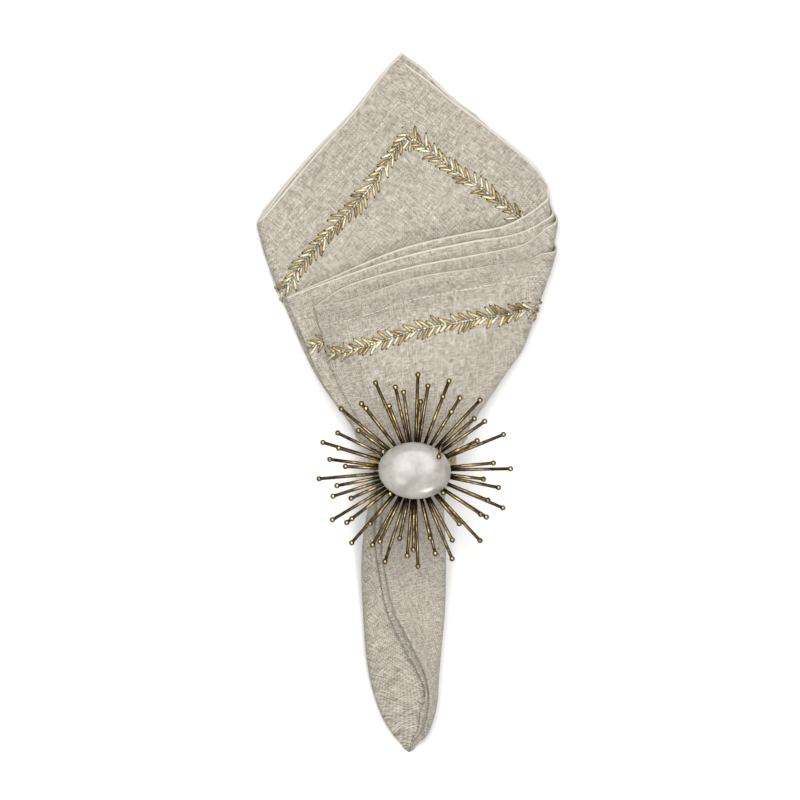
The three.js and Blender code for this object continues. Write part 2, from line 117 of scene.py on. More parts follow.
def pieceFrom(bm, name, materials):  # a finished bmesh as an object at the origin
    mesh = templateFrom(bm, name)
    for material in materials:
        mesh.materials.append(material)
    piece = bpy.data.objects.new(name, mesh)
    bpy.context.scene.collection.objects.link(piece)
    return piece


def markTopLight(bm, start, full, least=0.0):  # share of painted top light, by how far each spot faces up: paler on top, darker on the sides
    layer = bm.verts.layers.float.new("rubbed")
    bm.normal_update()
    for vertex in bm.verts:
        vertex[layer] = max(least, float(smoothStep(vertex.normal.z, start, full)))


def stamp(bm, template, place, tone=0.5, materialIndex=0):
    vertexCount = len(bm.verts)
    faceCount = len(bm.faces)
    bm.from_mesh(template)
    bm.verts.ensure_lookup_table()
    bm.faces.ensure_lookup_table()
    bmesh.ops.transform(bm, matrix=place, verts=bm.verts[vertexCount:])
    toneLayer = bm.faces.layers.float.get("tone") or bm.faces.layers.float.new("tone")
    bm.faces.ensure_lookup_table()
    for face in bm.faces[faceCount:]:
        face[toneLayer] = tone
        face.material_index = materialIndex


# Linen: plain weave in natural flax, washed and unglazed. It looks matt and dry, and its uneven yarn
# makes fine light and dark dashes along both threads.
linen = {
    "threadPitch": 0.65,  # real yarn is about 0.45 apart, drawn a little coarser so that it shows
    "dashes": (0.46, 3.4),  # width and length of the yarn's thick and thin places
    "streaks": (0.46, 15.0),  # of its long ones
    "lines": (0.34, 7.0),  # of single pale threads
    "slubs": (0.4, 6.0),  # of dark flecks
    "blotch": 46.0,  # across the soft patches of tone
    "crumple": 15.0,  # across the soft dents that handling leaves
    "crumpleHeight": 0.6,
    # width of the painted highlight along the hem's edge
    "edgeHighlightWidth": 1.3,
    "bumpHeight": 0.13,
    "base": "#9f988b",
    "dark": "#746d5f",
    "light": "#c3bdb1",
    "shade": "#5a4f3c",
    # colour of single pale threads, and of the painted highlight along the hem's edge
    "paleThreadAndEdgeHighlight": "#dad4c6",
    "finish": {"Roughness": 0.86, "Sheen Weight": 0.1, "Specular IOR Level": 0.2},
}


def makeLinen():
    material, tree, shader = newMaterial("naturalLinen", linen["finish"])
    uv = addNode(tree, "ShaderNodeUVMap", uv_map="flatCloth")
    side = roll["side"]

    def streaks(across, along, turned, detail, seed):  # noise drawn out along one thread
        scale = (side / along, side / across, 1) if turned else (side / across, side / along, 1)
        mapping = addNode(tree, "ShaderNodeMapping", {"Scale": scale, "Location": (seed, seed, 0)},
                          {"Vector": uv.outputs[0]})
        noise = addNode(tree, "ShaderNodeTexNoise", {"Scale": 1.0, "Detail": detail, "Roughness": 0.6},
                        {"Vector": mapping.outputs[0]})
        return noise.outputs[0]

    def joined(operation, first, second):
        node = addNode(tree, "ShaderNodeMath", links={0: first, 1: second}, operation=operation)
        return node.outputs[0]

    def bothWays(operation, kind, detail, seeds):  # streaks along both threads together
        width, length = linen[kind]
        return joined(operation, streaks(width, length, False, detail, seeds[0]),
                      streaks(width, length, True, detail, seeds[1]))

    def ranged(value, low, high, least, most):
        ends = {"From Min": low, "From Max": high, "To Min": least, "To Max": most}
        return addNode(tree, "ShaderNodeMapRange", ends, {"Value": value}).outputs[0]

    def mixed(share, first, hexColour):
        node = addNode(tree, "ShaderNodeMix", {7: linear(hexColour)}, {0: share, 6: first},
                       data_type="RGBA")
        return node.outputs[2]

    def threads(coordinate):  # over and under along one thread
        turns = addNode(tree, "ShaderNodeMath", {1: math.pi * side / linen["threadPitch"]},
                        {0: coordinate}, operation="MULTIPLY")
        return addNode(tree, "ShaderNodeMath", links={0: turns.outputs[0]}, operation="SINE").outputs[0]

    def fromMiddle(coordinate):  # distance from the middle of the cloth along one thread
        offset = addNode(tree, "ShaderNodeMath", {1: 0.5}, {0: coordinate}, operation="SUBTRACT")
        size = addNode(tree, "ShaderNodeMath", links={0: offset.outputs[0]}, operation="ABSOLUTE")
        return size.outputs[0]

    place = addNode(tree, "ShaderNodeSeparateXYZ", links={0: uv.outputs[0]})
    crossings = joined("MULTIPLY", threads(place.outputs[0]), threads(place.outputs[1]))
    fine = bothWays("ADD", "dashes", 1.0, (3.1, 17.7))
    long = bothWays("ADD", "streaks", 1.0, (31.3, 47.9))
    yarn = joined("ADD", ranged(fine, 0.72, 1.28, 0, 0.46), ranged(long, 0.72, 1.28, 0, 0.26))
    weave = joined("ADD", yarn, ranged(crossings, -1, 1, 0, 0.28))
    colour = addNode(tree, "ShaderNodeValToRGB", links={0: weave})
    setRamp(colour, [(0.22, linen["dark"]), (0.5, linen["base"]), (0.78, linen["light"])])
    lines = bothWays("MAXIMUM", "lines", 0.0, (59.3, 65.9))
    lined = mixed(ranged(lines, 0.62, 0.74, 0, 0.4), colour.outputs[0], linen["paleThreadAndEdgeHighlight"])
    slubs = bothWays("MAXIMUM", "slubs", 0.0, (71.3, 83.1))
    flecked = mixed(ranged(slubs, 0.66, 0.78, 0, 0.45), lined, linen["shade"])
    outwards = joined("MAXIMUM", fromMiddle(place.outputs[0]), fromMiddle(place.outputs[1]))
    nearEdge = ranged(outwards, 0.5 - linen["edgeHighlightWidth"] / side, 0.5, 0, 1)
    edgeHighlight = ranged(nearEdge, 0.1, 0.5, 0, 0.7)  # painted highlight: paler along the hem's edge, where its fold would catch the light
    edgeHighlighted = mixed(edgeHighlight, flecked, linen["paleThreadAndEdgeHighlight"])
    blotch = ranged(streaks(linen["blotch"], linen["blotch"], False, 2.0, 5.5), 0.3, 0.7, 0.96, 1.04)
    toned = addNode(tree, "ShaderNodeMix", {0: 1.0}, {6: edgeHighlighted, 7: blotch}, data_type="RGBA",
                    blend_type="MULTIPLY")
    tree.links.new(toned.outputs[2], shader.inputs["Base Color"])
    crumple = addNode(tree, "ShaderNodeBump", {"Strength": 1.0, "Distance": linen["crumpleHeight"] * mm},
                      {"Height": streaks(linen["crumple"], linen["crumple"], False, 2.0, 12.3)})
    bump = addNode(tree, "ShaderNodeBump", {"Strength": 0.7, "Distance": linen["bumpHeight"] * mm},
                   {"Height": weave, "Normal": crumple.outputs[0]})
    tree.links.new(bump.outputs[0], shader.inputs["Normal"])
    return material


# Napkin. The four layers of the folded square are its quarters A, D, C and B. Each runs over the flap,
# round the right turn, along the middle panel, round the left turn and along the rear panel.
roll = {
    "side": 508.0,
    "pitch": 1.25,  # from one layer to the next
    "halfStack": 2.375,  # half the thickness of four layers
    "turnRadius": 2.525,  # of the stack's middle
    "rightTurn": 30.6,  # angles in the flat quarter where the roll turns back
    "leftTurn": 61.6,
    "tipX": 1.6,
    "tipY": -179.5,
    "flapLean": math.radians(15),
    "tentEdge": 0.3,  # share of the flap's lift at its sides
    "tentShoulder": 26.0,  # how far in from them it is full
    "puffRoundness": 0.9,  # of the roll's swell across the section
    "leastRun": 0.3,  # no panel is shorter, near the tip
    "cloth": 0.45,
    "hemCloth": 1.0,
    "hemWidth": 15.8,
    "curl": 0.33,  # share of the flap's shortening that lies in the last stretch before its hem
    "curlLength": 27.0,
    "easeReach": 200.0,  # the layers' slip on each other grows from the tip to here
    "lowerLoose": 0.3,  # how much of the upper layers' lift at the flap's left fold the lower two have
    "fan": 0.7,  # how far each layer stands off the next at its hem, round the right turn
    "edgeLifts": {"A": 1.6, "D": 1.6, "C": 1.6, "B": 3.4},  # how far each hem's edge curls up
    "cornerShares": {"A": 0.4765, "D": 0.4645, "C": 0.4645, "B": 0.4645},  # where the open corner lies
}
# By reach from the tip: the edges of the roll and its panels across it, how far the lower layers slip,
# the height under it, how far it swells, and how far it is thinned towards the tip
rollColumns = ("reach", "left", "right", "flap", "slip", "rear", "under", "puff", "nip")
rollRows = np.array([
    (0, -0.02, 0.02, 0, 0, 0, 0, 1, 1e-4),
    (1.2, -1.8, 1.8, 0.9, 0.4, 0.6, 0, 1, 0.1),
    (3, -2.9, 3, 1.8, 0.7, 1, 0, 1, 0.2),
    (7, -5.3, 5.4, 3.8, 1.4, 2, 0, 1, 0.36),
    (12, -9, 10, 7.2, 2, 3, 0, 1, 0.52),
    (22, -14.6, 14, 10.2, 3.6, 6, 0, 1, 0.68),
    (32, -18.3, 15.7, 11.2, 2, 8, 0, 1, 0.8),
    (42, -20.9, 16.1, 8.6, 3.6, 9, 0, 1, 0.9),
    (56, -23, 17.3, 2.2, 5, 10, 0, 1, 1),
    (74, -24.2, 18.9, -7, 3.5, 10, 0, 1.1, 1),
    (94, -25, 19.4, -11.5, 3, 11, 0.5, 1.35, 1),
    (112, -24.2, 19.1, -13.5, 3, 11, 1.2, 1.75, 1),
    (128, -21.4, 18.3, -12.5, 3, 11, 1.9, 2.2, 1),
    (138, -19.5, 20.1, -12, 3, 12, 1.6, 2.7, 1),
    (145, -18.8, 22.1, -12.4, 3, 13, 1.5, 2.83, 1),
    (157, -18.9, 22.7, -13, 3, 14, 1.5, 2.83, 1),
    (162.5, -26.2, 29.2, -19.4, 3.5, 18, 2.2, 2.5, 1),
    (171, -30.2, 32, -23.5, 4.5, 22, 2.8, 2, 1),
    (184, -39, 40, -31, 6, 28, 1.8, 1.6, 1),
    (200, -48.6, 49.8, -38.6, 7.5, 36, 0.9, 1.3, 1),
    (216, -56, 59.4, -43.2, 9, 43, 0.3, 1.12, 1),
    (236, -64, 65.6, -48.4, 12, 50, 0.12, 1, 1),
    (262, -74, 73.2, -54, 14, 57, 0.06, 1, 1),
    (282, -79.2, 77.2, -58, 14, 60, 0.15, 1, 1),
    (300, -84.4, 76.6, -62, 14, 64, -0.9, 1, 1),
    (364, -108.2, 86.8, -75, 14, 78, -5.1, 1, 1),
])
# By angle in the flat quarter: the reach of each layer's hem as a share of its flat reach
hemColumns = ("angle", "A", "D", "C", "B")
hemRows = np.array([
    (0, 0.956, 0.9545, 0.924, 0.923),
    (5, 0.969, 0.9635, 0.951, 0.921),
    (14, 0.9905, 0.974, 0.956, 0.9325),
    (22, 0.986, 0.968, 0.945, 0.918),
    (25, 0.981, 0.961, 0.94, 0.911),
    (27.5, 0.99, 0.961, 0.939, 0.9035),
    (30.6, 1.007, 0.977, 0.966, 0.915),
    (33, 1.019, 1.003, 0.995, 0.955),
    (38, 1.011, 1.0125, 1.0125, 1.0125),
    (41, 1.0005, 1.0045, 1.0045, 1.0045),
    (43, 0.9975, 1.0085, 1.009, 1.0095),
    (45, 0.991, 1.003, 1.003, 1.003),
    (45.4, 1.003, 1.0033, 1.0033, 1.0033),
    (47, 1.003, 1.0045, 1.0045, 1.0045),
    (49.5, 0.996, 0.997, 0.997, 0.997),
    (54, 0.994, 1, 1, 1),
    (58, 0.9885, 0.996, 0.997, 0.9975),
    (61.6, 0.981, 0.984, 0.987, 0.99),
    (90, 0.965, 0.96, 0.96, 0.965),
])
tentRows = np.array([  # how far the flap stands off the panel under it, by its distance along the grain
    (150, 0), (170, 3.2), (186, 7.8), (200, 11.6), (210, 13.5), (216, 13.6),
    (221, 12), (226, 8.4), (230, 5.2), (234, 2.8), (239, 1.4), (246, 0.8), (256, 0.6), (300, 0.4),
])
# Soft ridges and troughs, seen from above: x and y of both ends, width and height
sheetCreases = [  # of all layers
    (-40, 121.3, -10, 177.3, 9, 0.8),
    (-70, 97.3, -30, 129.3, 10, -0.7),
    (20, 131.3, 62, 105.3, 10, 0.6),
    (-20, 97.3, 24, 89.3, 9, -0.5),
    (-14, -84.7, -6, -148.7, 5, 0.5),
    (-12, -102.7, 3, -139.7, 6, -1.4),
]
flapCreases = [  # of the flap alone, which has room to lift
    (-34, 35.3, -8, -6.7, 6, 1.2),
    (6, 31.3, 5, -8.7, 7, 1),
    (44, 47.3, 16, -2.7, 7, 1.3),
    (-46, 51.3, -20, 15.3, 5, 0.9),
    (-10, 75, 58, 91, 12, 3.2),
]
edgeCreases = [  # of the flap with its left fold, towards the tip, mostly in its upper two layers
    (-5.7, -105.2, 10.8, -140.1, 6, 6.4),
    (10.8, -140.1, 8.8, -168.7, 6, 3.4),
]
layerOrder = "ADCB"
quarterSigns = {"A": (1, 1), "D": (1, -1), "C": (-1, -1), "B": (-1, 1)}


def curveThrough(rows, column, at):  # a smooth curve through one column of a table
    keys = rows[:, 0]
    values = rows[:, column]
    before = np.maximum(np.arange(len(keys)) - 1, 0)
    after = np.minimum(np.arange(len(keys)) + 1, len(keys) - 1)
    slopes = (values[after] - values[before]) / (keys[after] - keys[before])
    at = np.clip(at, keys[0], keys[-1])
    i = np.clip(np.searchsorted(keys, at, side="right") - 1, 0, len(keys) - 2)
    width = keys[i + 1] - keys[i]
    t = (at - keys[i]) / width
    return ((2 * t ** 3 - 3 * t ** 2 + 1) * values[i] + (t ** 3 - 2 * t ** 2 + t) * width * slopes[i]
            + (3 * t ** 2 - 2 * t ** 3) * values[i + 1] + (t ** 3 - t ** 2) * width * slopes[i + 1])


def smoothStep(value, low, high):
    t = np.clip((value - low) / (high - low), 0, 1)
    return t * t * (3 - 2 * t)


def stationAt(reach):  # the roll's measures at one reach from the tip
    station = {name: curveThrough(rollRows, i, reach) for i, name in enumerate(rollColumns) if i}
    station["reach"] = reach
    return station


def layerOffset(layer):
    return (layerOrder.index(layer) - 1.5) * roll["pitch"]


def runsOf(station, layer):  # centres and lengths of a layer's panels on the section
    turn = roll["turnRadius"] * station["nip"]
    outer = turn + roll["halfStack"] * station["nip"]
    rightCentre = station["right"] - outer
    leftCentre = station["left"] + outer
    slip = station["slip"] if layer in "AD" else 0
    flapEdge = np.minimum(station["flap"], rightCentre - roll["leastRun"]) - slip
    rearRun = np.maximum(station["rear"] - leftCentre, roll["leastRun"])
    return {"turn": turn, "quarter": math.pi / 2 * turn, "right": rightCentre, "left": leftCentre,
            "flapEdge": flapEdge, "flapRun": rightCentre - flapEdge,
            "middleRun": rightCentre - leftCentre, "rearRun": rearRun}


def onSection(station, panel, share, layer):
    # Where a spot lies across and up the section, its normal, its angle in the quarter and its lift
    runs = runsOf(station, layer)
    turn, quarter = runs["turn"], runs["quarter"]
    firstTurn, secondTurn = roll["rightTurn"], roll["leftTurn"]
    middleSpan = (secondTurn - firstTurn) / (runs["middleRun"] + 2 * quarter)
    flapSpan = firstTurn / (runs["flapRun"] + quarter)
    rearSpan = (90 - secondTurn) / (runs["rearRun"] + quarter)
    if panel == "flap":
        return (runs["flapEdge"] + runs["flapRun"] * share, 2 * turn, 0, 1,
                flapSpan * runs["flapRun"] * share, 1)
    if panel == "right turn":
        bend = (0.5 - share) * math.pi
        before = flapSpan * (runs["flapRun"] + 2 * quarter * share)
        angle = before if share < 0.5 else firstTurn + middleSpan * 2 * quarter * (share - 0.5)
        return (runs["right"] + turn * math.cos(bend), turn + turn * math.sin(bend),
                math.cos(bend), math.sin(bend), angle, (1 + math.sin(bend)) / 2)
    if panel == "middle":
        return (runs["right"] - runs["middleRun"] * share, 0 * turn, 0, -1,
                firstTurn + middleSpan * (quarter + runs["middleRun"] * share), 0)
    if panel == "left turn":
        bend = (0.5 + share) * math.pi
        before = secondTurn - middleSpan * 2 * quarter * (0.5 - share)
        angle = before if share < 0.5 else secondTurn + rearSpan * 2 * quarter * (share - 0.5)
        return (runs["left"] + turn * math.cos(bend), -turn + turn * math.sin(bend),
                -math.cos(bend), -math.sin(bend), angle, 0)
    return (runs["left"] + runs["rearRun"] * share, -2 * turn, 0, 1,
            secondTurn + rearSpan * (quarter + runs["rearRun"] * share), 0)


def spotAtAngle(station, angle, layer):  # the panel and share where a single angle of a layer lies
    runs = runsOf(station, layer)
    quarter = runs["quarter"]
    firstTurn, secondTurn = roll["rightTurn"], roll["leftTurn"]
    if angle < firstTurn:
        run = angle / firstTurn * (runs["flapRun"] + quarter)
        if run < runs["flapRun"]:
            return "flap", run / runs["flapRun"]
        return "right turn", (run - runs["flapRun"]) / (2 * quarter)
    if angle < secondTurn:
        run = (angle - firstTurn) / (secondTurn - firstTurn) * (runs["middleRun"] + 2 * quarter)
        if run < quarter:
            return "right turn", 0.5 + run / (2 * quarter)
        if run < quarter + runs["middleRun"]:
            return "middle", (run - quarter) / runs["middleRun"]
        return "left turn", (run - quarter - runs["middleRun"]) / (2 * quarter)
    run = (angle - secondTurn) / (90 - secondTurn) * (runs["rearRun"] + quarter)
    if run < quarter:
        return "left turn", 0.5 + run / (2 * quarter)
    return "rear", (run - quarter) / runs["rearRun"]


def creaseHeight(creases, x, y):
    total = 0 * x
    for x1, y1, x2, y2, width, height in creases:
        lengthSquared = (x2 - x1) ** 2 + (y2 - y1) ** 2
        along = np.clip(((x - x1) * (x2 - x1) + (y - y1) * (y2 - y1)) / lengthSquared, 0, 1)
        distance = np.hypot(x - x1 - along * (x2 - x1), y - y1 - along * (y2 - y1))
        total = total + height * np.exp(-(distance / width) ** 2) * np.sin(math.pi * (0.1 + 0.8 * along))
    return total


def placeOnRoll(station, arc, height, lifted, layer):  # from the section to the part
    reach = np.maximum(station["reach"], 1e-3)
    bearing = arc / reach
    stack = (2 * roll["turnRadius"] + roll["halfStack"]) * station["nip"]
    middle = station["under"] + stack * station["puff"]
    centre = (station["left"] + station["right"]) / 2
    half = np.maximum((station["right"] - station["left"]) / 2, 1e-3)
    across = np.clip((arc - centre) / half, -1, 1)
    puff = 1 + (station["puff"] - 1) * (1 - across ** 2) ** roll["puffRoundness"]
    grain = station["reach"] * np.cos(bearing + roll["flapLean"])
    fromSides = np.minimum(arc - station["flap"] + station["slip"], station["right"] - arc)
    shoulder = smoothStep(fromSides, 0, roll["tentShoulder"])
    tentShare = roll["tentEdge"] + (1 - roll["tentEdge"]) * shoulder
    lift = curveThrough(tentRows, 1, grain) * tentShare * lifted
    x = roll["tipX"] + station["reach"] * np.sin(bearing)
    y = roll["tipY"] + station["reach"] * np.cos(bearing)
    z = middle + height * puff + lift
    z = z + creaseHeight(sheetCreases, x, y) * np.minimum(z / 6, 1)
    loose = 1 if layer in "CB" else roll["lowerLoose"]
    z = z + creaseHeight(flapCreases, x, y) * lifted * shoulder
    z = z + creaseHeight(edgeCreases, x, y) * lifted * loose
    return x, y, z


def reachOf(layer, angle, flatReach, blend=None):
    # Distance from the tip of a place on the flat cloth. blend gives a second layer and its share.
    radians = np.radians(angle)
    hemReach = roll["side"] / 2 / np.maximum(np.cos(radians), np.sin(radians))
    share = curveThrough(hemRows, hemColumns.index(layer), angle)
    if blend:
        share = share + (curveThrough(hemRows, hemColumns.index(blend[0]), angle) - share) * blend[1]
    curl = roll["curl"] * (1 - smoothStep(angle, 28, 33))
    ease = (1 - curl) * smoothStep(flatReach, 0, roll["easeReach"])
    ease = ease + curl * np.maximum(0, 1 - (hemReach - flatReach) / roll["curlLength"]) ** 2
    return flatReach - (1 - share) * hemReach * ease


def rollSpots():  # the spots round one closed section: each layer in turn, joined by half-round folds
    steps = {
        "A": {"flap": 24, "right turn": 8, "middle": 46, "left turn": 8, "rear": 16},
        "D": {"flap": 24, "right turn": 8, "middle": 22, "left turn": 8, "rear": 10},
        "C": {"flap": 24, "right turn": 8, "middle": 22, "left turn": 8, "rear": 10},
        "B": {"flap": 46, "right turn": 10, "middle": 20, "left turn": 8, "rear": 16},
    }
    folds = (("A", "D", True), ("D", "C", False), ("C", "B", True), ("B", "A", False))
    spots = []
    for layer, nextLayer, backwards in folds:
        onLayer = [{"layer": layer, "panel": panel, "share": i / count}
                   for panel, count in steps[layer].items() for i in range(count)]
        onMiddle = [spot for spot in onLayer if spot["panel"] == "middle"]
        cornerShare = roll["cornerShares"][layer]
        min(onMiddle, key=lambda spot: abs(spot["share"] - cornerShare))["share"] = cornerShare
        onLayer.append({"layer": layer, "panel": "rear", "share": 1.0})
        spots += onLayer[::-1] if backwards else onLayer
        turnSteps = 8 if layer == "B" else 5
        foldAngle = 0 if backwards else 90
        spots += [{"layer": layer, "to": nextLayer, "angle": foldAngle, "turn": i / turnSteps}
                  for i in range(1, turnSteps)]
    return spots


def fanOf(layer, angle, flatShare):  # how far a layer stands off the one inside it, near its hem
    alongHem = 0.45 * smoothStep(angle, 0, 6) + 0.55 * smoothStep(angle, 12, 27)
    beforeTurn = 1 - smoothStep(angle, 30.8, 33.5)
    fan = roll["fan"] * layerOrder.index(layer) * smoothStep(flatShare, 0.75, 1)
    curled = roll["edgeLifts"][layer] * smoothStep(flatShare, 0.965, 1) * (1 - smoothStep(angle, 19, 27))
    return (fan + curled) * alongHem * beforeTurn


def spotOnSection(station, spot, flatShare=0):  # arc, height, angle and lift of a spot's cloth
    if "panel" in spot:
        arc, height, normalArc, normalHeight, angle, lifted = onSection(
            station, spot["panel"], spot["share"], spot["layer"])
        offset = layerOffset(spot["layer"]) * station["nip"] + fanOf(spot["layer"], angle, flatShare)
        return arc + normalArc * offset, height + normalHeight * offset, angle, lifted
    atRear = spot["angle"] == 90
    arc, height, _, _, _, lifted = onSection(
        station, "rear" if atRear else "flap", 1 if atRear else 0, spot["layer"])
    start, end = layerOffset(spot["layer"]), layerOffset(spot["to"])
    radius = abs(end - start) / 2 * station["nip"]
    turn = (spot["turn"] - 0.5) * math.pi * math.copysign(1, end - start)
    return (arc + (1 if atRear else -1) * radius * math.cos(turn),
            height + (start + end) / 2 * station["nip"] + radius * math.sin(turn), spot["angle"], lifted)


def columnOfCloth(spot, shares):  # places, flat places and nip of one column, from tip to hem
    halfSide = roll["side"] / 2
    blend = (spot["to"], spot["turn"]) if "to" in spot else None
    reach = shares * halfSide
    for _ in range(16):
        angle = spotOnSection(stationAt(reach), spot)[2] + 0 * reach
        hemReach = halfSide / np.maximum(np.cos(np.radians(angle)), np.sin(np.radians(angle)))
        reach = reach + 0.7 * (reachOf(spot["layer"], angle, shares * hemReach, blend) - reach)
    station = stationAt(reach)
    arc, height, angle, lifted = spotOnSection(station, spot, shares)
    x, y, z = placeOnRoll(station, arc, height, lifted, spot["layer"])
    angle = np.radians(angle + 0 * reach)
    flatReach = shares * halfSide / np.maximum(np.cos(angle), np.sin(angle))
    signX, signY = quarterSigns[spot["layer"]]
    flatX, flatY = signX * flatReach * np.cos(angle), signY * flatReach * np.sin(angle)
    return x, y, z, flatX, flatY, station["nip"] + 0 * reach


def hemWeight(inset):  # thickness as a share of the hem's, by distance from the edge
    cloth = roll["cloth"] / roll["hemCloth"]
    hem = roll["hemWidth"]
    points = [(0, 0.55), (0.4, 0.85), (1.2, 1), (hem - 1.2, 0.92), (hem - 0.1, 0.6), (hem + 0.6, 0.5),
              (hem + 1.6, cloth), (roll["side"], cloth)]
    return float(np.interp(inset, [p[0] for p in points], [p[1] for p in points]))


def makeNapkin(material):
    halfSide = roll["side"] / 2
    hem = roll["hemWidth"]
    insets = [0, 0.4, 1.2, 3, 5.5, 8.5, 11.5, hem - 1.2, hem - 0.1, hem + 0.6, hem + 1.6, hem + 4]
    inner = np.linspace(hem + 6.5, halfSide, 94)
    shares = 1 - np.array([*insets, *inner])[::-1] / halfSide
    spots = rollSpots()
    columns = [columnOfCloth(spot, shares) for spot in spots]
    bm = bmesh.new()
    bmesh.ops.create_grid(bm, x_segments=len(spots), y_segments=len(shares) - 1, size=1)
    bm.verts.ensure_lookup_table()
    flatLayer = bm.verts.layers.float_vector.new("flatPlace")
    weightLayer = bm.verts.layers.deform.new()
    perRow = len(spots) + 1
    for i, vertex in enumerate(bm.verts):
        row, column = divmod(i, perRow)
        x, y, z, flatX, flatY, nip = (values[row] for values in columns[column % len(spots)])
        vertex.co = Vector((x, y, z)) * mm
        vertex[flatLayer] = (flatX / roll["side"] + 0.5, flatY / roll["side"] + 0.5, 0)
        vertex[weightLayer][0] = hemWeight((1 - shares[row]) * halfSide) * min(1, nip * 1.1)
    uvLayer = bm.loops.layers.uv.new("flatCloth")
    for face in bm.faces:
        for loop in face.loops:
            loop[uvLayer].uv = loop.vert[flatLayer][:2]
    bmesh.ops.remove_doubles(bm, verts=bm.verts, dist=0.002 * mm)
    piece = pieceFrom(bm, "napkinCloth", [material])
    piece.vertex_groups.new(name="hem")
    solidify = piece.modifiers.new("thickness", "SOLIDIFY")
    solidify.thickness = roll["hemCloth"] * mm
    solidify.offset = 0
    solidify.vertex_group = "hem"
    return piece


def clothAt(flatX, flatY):  # where a place on the flat cloth lies on the roll
    signs = (1 if flatX >= 0 else -1, 1 if flatY >= 0 else -1)
    layer = next(name for name, pair in quarterSigns.items() if pair == signs)
    angle = math.degrees(math.atan2(abs(flatY), abs(flatX)))
    station = stationAt(reachOf(layer, angle, math.hypot(flatX, flatY)))
    panel, share = spotAtAngle(station, angle, layer)
    spot = {"layer": layer, "panel": panel, "share": float(share)}
    flatShare = max(abs(flatX), abs(flatY)) / (roll["side"] / 2)
    arc, height, _, lifted = spotOnSection(station, spot, flatShare)
    return Vector(placeOnRoll(station, arc, height, lifted, layer))


def placeOnCloth(flatX, flatY, heading, lift, size):
    # Matrix of something on the beaded side: its Y runs along heading, its Z stands off the cloth
    step = 0.8
    here = clothAt(flatX, flatY)
    alongX = clothAt(flatX + step, flatY) - here
    alongY = clothAt(flatX, flatY + step) - here
    normal = alongX.cross(alongY).normalized()
    forward = (alongX * math.cos(heading) + alongY * math.sin(heading)).normalized()
    forward = (forward - normal * forward.dot(normal)).normalized()
    turned = Matrix((forward.cross(normal), forward, normal)).transposed().to_4x4()
    return Matrix.Translation((here + normal * lift) * mm) @ turned @ Matrix.Diagonal((*size, 1))


# Bead border: gold-lined bugle beads in pairs like leaves along a stem of silver ones. The glass is
# clear and drawn into tubes, with metal leaf inside; it is painted bright and warm on top and brown at
# the sides, as painted highlight and shade.
border = {
    "pitch": 3.6,
    "leafLength": 5.8,
    "leafRadius": 0.84,
    "leafAngle": math.radians(37),
    "rootGap": 0.7,
    "seedRadius": 0.52,
    "stemLength": 2.0,
    "stemRadius": 0.62,
    "lift": 0.55,
    "stemLift": 0.85,
    "leastHeight": 1.4,
    # the beads are painted paler where they face up and darker where they face sideways, as painted
    # highlight and shade
    "rubbedFrom": 0.15,  # by how far a spot faces up
    "rubbedTo": 0.8,
    # painted shade on the beads' sides
    "sides": "#43341f",
}
beadGlass = {  # colours by the bead's tone, and finish
    "goldLinedGlass": ([(0, "#856e3e"), (0.35, "#b09c66"), (0.7, "#cdc093"), (1, "#ded4b4")],
                       {"Metallic": 0.3, "Roughness": 0.35, "Coat Weight": 0.35}),
    "silverLinedGlass": ([(0, "#5e5b55"), (0.4, "#96938c"), (1, "#cfcdc7")],
                         {"Metallic": 0.5, "Roughness": 0.35, "Coat Weight": 0.3}),
    "darkSeedGlass": ([(0, "#2d241a"), (1, "#4a3b26")],
                      {"Metallic": 0.5, "Roughness": 0.3, "Coat Weight": 0.4}),
}
goldSlot, silverSlot, darkSlot = range(3)
borderStretches = [  # start and end, on the flat cloth, of each stretch that shows
    ((222, -17.5), (222, 0.5)),
    ((227, 139), (227, 224)),
    ((227, 224), (121, 220.5)),
    ((-222, 139), (-222, -0.5)),
]


def makeBeadGlass(name):
    stops, finish = beadGlass[name]
    material, tree, shader = newMaterial(name, finish)
    tone = addNode(tree, "ShaderNodeAttribute", attribute_name="tone", attribute_type="GEOMETRY")
    colour = addNode(tree, "ShaderNodeValToRGB", links={0: tone.outputs["Fac"]})
    setRamp(colour, stops)
    facing = addNode(tree, "ShaderNodeAttribute", attribute_name="rubbed", attribute_type="GEOMETRY")
    # painted light: the bead's own colour where it faces up, painted shade where it faces sideways
    shaded = addNode(tree, "ShaderNodeMix", {6: linear(border["sides"])},
                     {0: facing.outputs["Fac"], 7: colour.outputs[0]}, data_type="RGBA")
    tree.links.new(shaded.outputs[2], shader.inputs["Base Color"])
    return material


def beadTemplate(name, radius, length, segments):  # a short tube with rounded ends, along Y
    bm = bmesh.new()
    bmesh.ops.create_cone(bm, cap_ends=True, segments=segments, radius1=radius, radius2=radius,
                          depth=length)
    rims = [edge for edge in bm.edges if abs(edge.verts[0].co.z - edge.verts[1].co.z) < 1e-6]
    bmesh.ops.bevel(bm, geom=rims, offset=radius * 0.45, segments=1, profile=0.5, affect="EDGES",
                    material=-1)
    bmesh.ops.rotate(bm, verts=bm.verts, matrix=Matrix.Rotation(math.pi / 2, 3, "X"))
    bmesh.ops.scale(bm, verts=bm.verts, vec=(mm, mm, mm))
    return templateFrom(bm, name)


